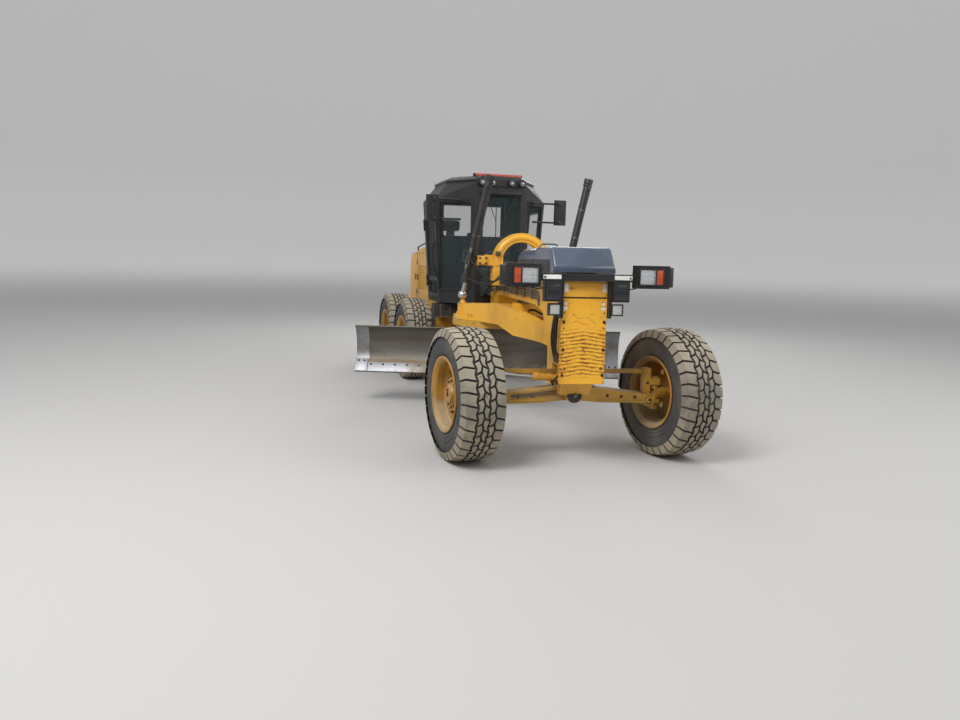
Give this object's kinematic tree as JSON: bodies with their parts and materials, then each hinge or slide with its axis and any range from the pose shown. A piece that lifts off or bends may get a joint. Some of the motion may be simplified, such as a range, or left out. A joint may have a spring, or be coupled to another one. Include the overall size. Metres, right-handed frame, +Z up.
{
  "type": "motor grader",
  "caption": "Motor grader with a hinged front frame, cab, engine at the rear, turning and side-shifting blade under a drawbar, leaning front wheels and tandem rear wheels.",
  "frame": {"origin": "on the floor under the middle of the machine's bounding box; the raised blade stands out to the right, so the front frame's middle plane lies at x = 0.359 m and the rear frame is folded 8 degrees to the right at the hinge", "axes": "+Z up, -Y forward, towards the push plate, +X to the machine's left"},
  "size_m": [3.6766, 8.876, 3.342],
  "materials": {
    "yellow_paint": "gloss",
    "dusty_yellow": "matt, dusty",
    "black_paint": "satin",
    "dark_gray": "satin",
    "rod_chrome": "polished",
    "blade_steel": "worn, dusty",
    "hood_gray": "gloss",
    "tyre_rubber": "matt, dusty",
    "rim_yellow": "matt, dusty",
    "pane": "clear",
    "seat_cloth": "woven",
    "trim_plastic": "matt",
    "engine_iron": "matt"
  },
  "bodies": {
    "rear_frame": {"rear_chassis": "yellow_paint", "tandem_cases": "dusty_yellow", "engine": "engine_iron", "engine_hood": "yellow_paint", "cab_frame": "black_paint", "cab_roof": "black_paint", "cab_glass": "pane", "operator_seat": "seat_cloth", "control_console": "trim_plastic", "cab_lights": "black_paint", "rails_and_mirrors": "black_paint", "side_tanks": "dark_gray"},
    "door_left": {"door_left": "black_paint", "door_glass_left": "pane"},
    "door_right": {"door_right": "black_paint", "door_glass_right": "pane"},
    "front_frame": {"main_frame": "yellow_paint", "push_plate": "dusty_yellow", "nose_hood": "hood_gray", "light_bar": "black_paint"},
    "turn_barrel_left": {"turn_barrel_left": "dark_gray"},
    "turn_barrel_right": {"turn_barrel_right": "dark_gray"},
    "turn_rod_left": {"turn_rod_left": "rod_chrome"},
    "turn_rod_right": {"turn_rod_right": "rod_chrome"},
    "lift_barrel_left": {"lift_barrel_left": "dark_gray"},
    "lift_barrel_right": {"lift_barrel_right": "dark_gray"},
    "lift_rod_left": {"lift_rod_left": "rod_chrome"},
    "lift_rod_right": {"lift_rod_right": "rod_chrome"},
    "drawbar": {"drawbar": "yellow_paint"},
    "circle": {"circle": "dusty_yellow"},
    "blade_carrier": {"blade_carrier": "dusty_yellow"},
    "tip_barrel": {"tip_barrel": "dark_gray"},
    "tip_rod": {"tip_rod": "rod_chrome"},
    "blade": {"moldboard": "blade_steel", "cutting_edge": "blade_steel"},
    "front_axle": {"front_axle": "dusty_yellow"},
    "lean_carrier_left": {"lean_carrier_left": "dusty_yellow"},
    "lean_carrier_right": {"lean_carrier_right": "dusty_yellow"},
    "lean_bar": {"lean_bar": "dusty_yellow"},
    "lean_barrel": {"lean_barrel": "yellow_paint"},
    "lean_rod": {"lean_rod": "rod_chrome"},
    "knuckle_left": {"knuckle_left": "dusty_yellow"},
    "knuckle_right": {"knuckle_right": "dusty_yellow"},
    "tie_rod_end": {"tie_rod_end": "dark_gray"},
    "tie_rod": {"tie_rod": "dark_gray"},
    "wheel_front_left": {"tyre_front_left": "tyre_rubber", "rim_front_left": "rim_yellow"},
    "wheel_front_right": {"tyre_front_right": "tyre_rubber", "rim_front_right": "rim_yellow"},
    "wheel_mid_left": {"tyre_mid_left": "tyre_rubber", "rim_mid_left": "rim_yellow"},
    "wheel_mid_right": {"tyre_mid_right": "tyre_rubber", "rim_mid_right": "rim_yellow"},
    "wheel_rear_left": {"tyre_rear_left": "tyre_rubber", "rim_rear_left": "rim_yellow"},
    "wheel_rear_right": {"tyre_rear_right": "tyre_rubber", "rim_rear_right": "rim_yellow"}
  },
  "joints": [
    {"name": "articulation", "type": "hinge", "parent": "rear_frame", "child": "front_frame", "pos_m": [0.35931, 0.16163, 1.38], "axis": [0, 0, 1], "range_deg": [-14, 30]},
    {"name": "turn_barrel_left_swing", "type": "hinge", "parent": "rear_frame", "child": "turn_barrel_left", "pos_m": [0.70997, 0.75622, 1.3], "axis": [0, 0, 1], "range_deg": [-20, 20]},
    {"name": "turn_rod_left_slide", "type": "slide", "parent": "turn_barrel_left", "child": "turn_rod_left", "axis": [-0.137, -0.9906, 0], "range_m": [-0.26, 0.26]},
    {"name": "turn_barrel_right_swing", "type": "hinge", "parent": "rear_frame", "child": "turn_barrel_right", "pos_m": [-0.14166, 0.63653, 1.3], "axis": [0, 0, 1], "range_deg": [-20, 20]},
    {"name": "turn_rod_right_slide", "type": "slide", "parent": "turn_barrel_right", "child": "turn_rod_right", "axis": [0.3224, -0.9466, 0], "range_m": [-0.26, 0.26]},
    {"name": "axle_oscillation", "type": "hinge", "parent": "front_frame", "child": "front_axle", "pos_m": [0.35931, -3.68837, 0.7], "axis": [0, 1, 0], "range_deg": [-15, 15]},
    {"name": "wheel_lean", "type": "hinge", "parent": "front_axle", "child": "lean_carrier_left", "pos_m": [1.21931, -3.68837, 0.62], "axis": [0, -1, 0], "range_deg": [-18, 18]},
    {"name": "wheel_lean_right", "type": "hinge", "parent": "front_axle", "child": "lean_carrier_right", "pos_m": [-0.50069, -3.68837, 0.62], "axis": [0, -1, 0], "range_deg": [-18, 18]},
    {"name": "lean_bar_swing", "type": "hinge", "parent": "lean_carrier_left", "child": "lean_bar", "pos_m": [1.21931, -3.68837, 0.905], "axis": [0, -1, 0], "range_deg": [-19, 19]},
    {"name": "lean_barrel_swing", "type": "hinge", "parent": "front_axle", "child": "lean_barrel", "pos_m": [0.45431, -3.71637, 0.82], "axis": [0, -1, 0], "range_deg": [-4, 4]},
    {"name": "lean_rod_slide", "type": "slide", "parent": "lean_barrel", "child": "lean_rod", "axis": [-0.9961, 0, 0.0887], "range_m": [-0.1, 0.1]},
    {"name": "steering", "type": "hinge", "parent": "lean_carrier_left", "child": "knuckle_left", "pos_m": [1.29931, -3.68837, 0.685], "axis": [0, 0, 1], "range_deg": [-52, 28]},
    {"name": "steering_right", "type": "hinge", "parent": "lean_carrier_right", "child": "knuckle_right", "pos_m": [-0.58069, -3.68837, 0.685], "axis": [0, 0, 1], "range_deg": [-52, 28]},
    {"name": "tie_rod_end_turn", "type": "hinge", "parent": "knuckle_right", "child": "tie_rod_end", "pos_m": [-0.62019, -3.50252, 0.582], "axis": [0, 0, 1], "range_deg": [-29, 53]},
    {"name": "tie_rod_swing", "type": "hinge", "parent": "tie_rod_end", "child": "tie_rod", "pos_m": [-0.62019, -3.50252, 0.582], "axis": [0, -1, 0], "range_deg": [-19, 19]},
    {"name": "drawbar_lift", "type": "hinge", "parent": "front_frame", "child": "drawbar", "pos_m": [0.35931, -3.35837, 0.93], "axis": [0.999, 0.0436, 0], "range_deg": [-24, 1]},
    {"name": "lift_barrel_left_swing", "type": "hinge", "parent": "front_frame", "child": "lift_barrel_left", "pos_m": [1.03931, -1.12837, 2.05], "axis": [0.2484, -0.9664, -0.0667], "range_deg": [-15, 15]},
    {"name": "lift_rod_left_slide", "type": "slide", "parent": "lift_barrel_left", "child": "lift_rod_left", "axis": [-0.1993, 0.0164, -0.9798], "range_m": [-0.1, 1.05]},
    {"name": "lift_barrel_right_swing", "type": "hinge", "parent": "front_frame", "child": "lift_barrel_right", "pos_m": [-0.32069, -1.12837, 2.05], "axis": [-0.3857, -0.9213, -0.0495], "range_deg": [-15, 15]},
    {"name": "lift_rod_right_slide", "type": "slide", "parent": "lift_barrel_right", "child": "lift_rod_right", "axis": [-0.1951, 0.1338, -0.9716], "range_m": [-0.1, 1.05]},
    {"name": "circle_turn", "type": "hinge", "parent": "drawbar", "child": "circle", "pos_m": [0.25942, -1.07055, 1.2], "axis": [0, 0, -1], "continuous": true},
    {"name": "blade_tip", "type": "hinge", "parent": "circle", "child": "blade_carrier", "pos_m": [0.32521, -0.74717, 0.66], "axis": [0.9799, -0.1994, 0], "range_deg": [-5, 40]},
    {"name": "tip_barrel_swing", "type": "hinge", "parent": "circle", "child": "tip_barrel", "pos_m": [0.41892, -0.28661, 1.085], "axis": [0.9799, -0.1994, 0], "range_deg": [-8, 8]},
    {"name": "tip_rod_slide", "type": "slide", "parent": "tip_barrel", "child": "tip_rod", "axis": [-0.1969, -0.9677, -0.1576], "range_m": [-0.04, 0.27]},
    {"name": "blade_side_shift", "type": "slide", "parent": "blade_carrier", "child": "blade", "axis": [0.9799, -0.1994, 0], "range_m": [-0.45, 0.65]},
    {"name": "spin_front_left", "type": "hinge", "parent": "knuckle_left", "child": "wheel_front_left", "pos_m": [1.4656, -3.65302, 0.685], "axis": [0.9781, 0.2079, 0], "continuous": true},
    {"name": "spin_front_right", "type": "hinge", "parent": "knuckle_right", "child": "wheel_front_right", "pos_m": [-0.74697, -3.72371, 0.685], "axis": [0.9781, 0.2079, 0], "continuous": true},
    {"name": "spin_mid_left", "type": "hinge", "parent": "rear_frame", "child": "wheel_mid_left", "pos_m": [1.15035, 1.93397, 0.685], "axis": [0.9903, 0.1392, 0], "continuous": true},
    {"name": "spin_mid_right", "type": "hinge", "parent": "rear_frame", "child": "wheel_mid_right", "pos_m": [-0.8896, 1.64727, 0.685], "axis": [0.9903, 0.1392, 0], "continuous": true},
    {"name": "spin_rear_left", "type": "hinge", "parent": "rear_frame", "child": "wheel_rear_left", "pos_m": [0.93185, 3.48869, 0.685], "axis": [0.9903, 0.1392, 0], "continuous": true},
    {"name": "spin_rear_right", "type": "hinge", "parent": "rear_frame", "child": "wheel_rear_right", "pos_m": [-1.10811, 3.20199, 0.685], "axis": [0.9903, 0.1392, 0], "continuous": true},
    {"name": "door_left_hinge", "type": "hinge", "parent": "rear_frame", "child": "door_left", "pos_m": [1.0332, 1.68626, 2.09877], "axis": [0.0679, 0.0095, 0.9976], "range_deg": [0, 75]},
    {"name": "door_right_hinge", "type": "hinge", "parent": "rear_frame", "child": "door_right", "pos_m": [-0.70872, 1.44144, 2.09877], "axis": [0.0679, 0.0095, -0.9976], "range_deg": [0, 75]}
  ],
  "couplings": [
    {"joint": "turn_barrel_left_swing", "follows": "articulation", "ratio": 0.30931},
    {"joint": "turn_rod_left_slide", "follows": "articulation", "m_per_rad": -0.29925},
    {"joint": "turn_barrel_right_swing", "follows": "articulation", "ratio": 0.31773},
    {"joint": "turn_rod_right_slide", "follows": "articulation", "m_per_rad": 0.28582},
    {"joint": "wheel_lean_right", "follows": "wheel_lean", "ratio": 1},
    {"joint": "lean_bar_swing", "follows": "wheel_lean", "ratio": -1},
    {"joint": "lean_barrel_swing", "follows": "wheel_lean", "ratio": 0.02257},
    {"joint": "lean_rod_slide", "follows": "wheel_lean", "m_per_rad": 0.2802},
    {"joint": "steering_right", "follows": "steering", "ratio": 1},
    {"joint": "tie_rod_end_turn", "follows": "steering", "ratio": -1},
    {"joint": "tie_rod_swing", "follows": "wheel_lean", "ratio": -0.9158},
    {"joint": "lift_barrel_left_swing", "follows": "drawbar_lift", "ratio": -0.36284},
    {"joint": "lift_rod_left_slide", "follows": "drawbar_lift", "m_per_rad": -2.107},
    {"joint": "lift_barrel_right_swing", "follows": "drawbar_lift", "ratio": -0.34699},
    {"joint": "lift_rod_right_slide", "follows": "drawbar_lift", "m_per_rad": -2.2651},
    {"joint": "tip_barrel_swing", "follows": "blade_tip", "ratio": 0.07148},
    {"joint": "tip_rod_slide", "follows": "blade_tip", "m_per_rad": 0.3407}
  ]
}
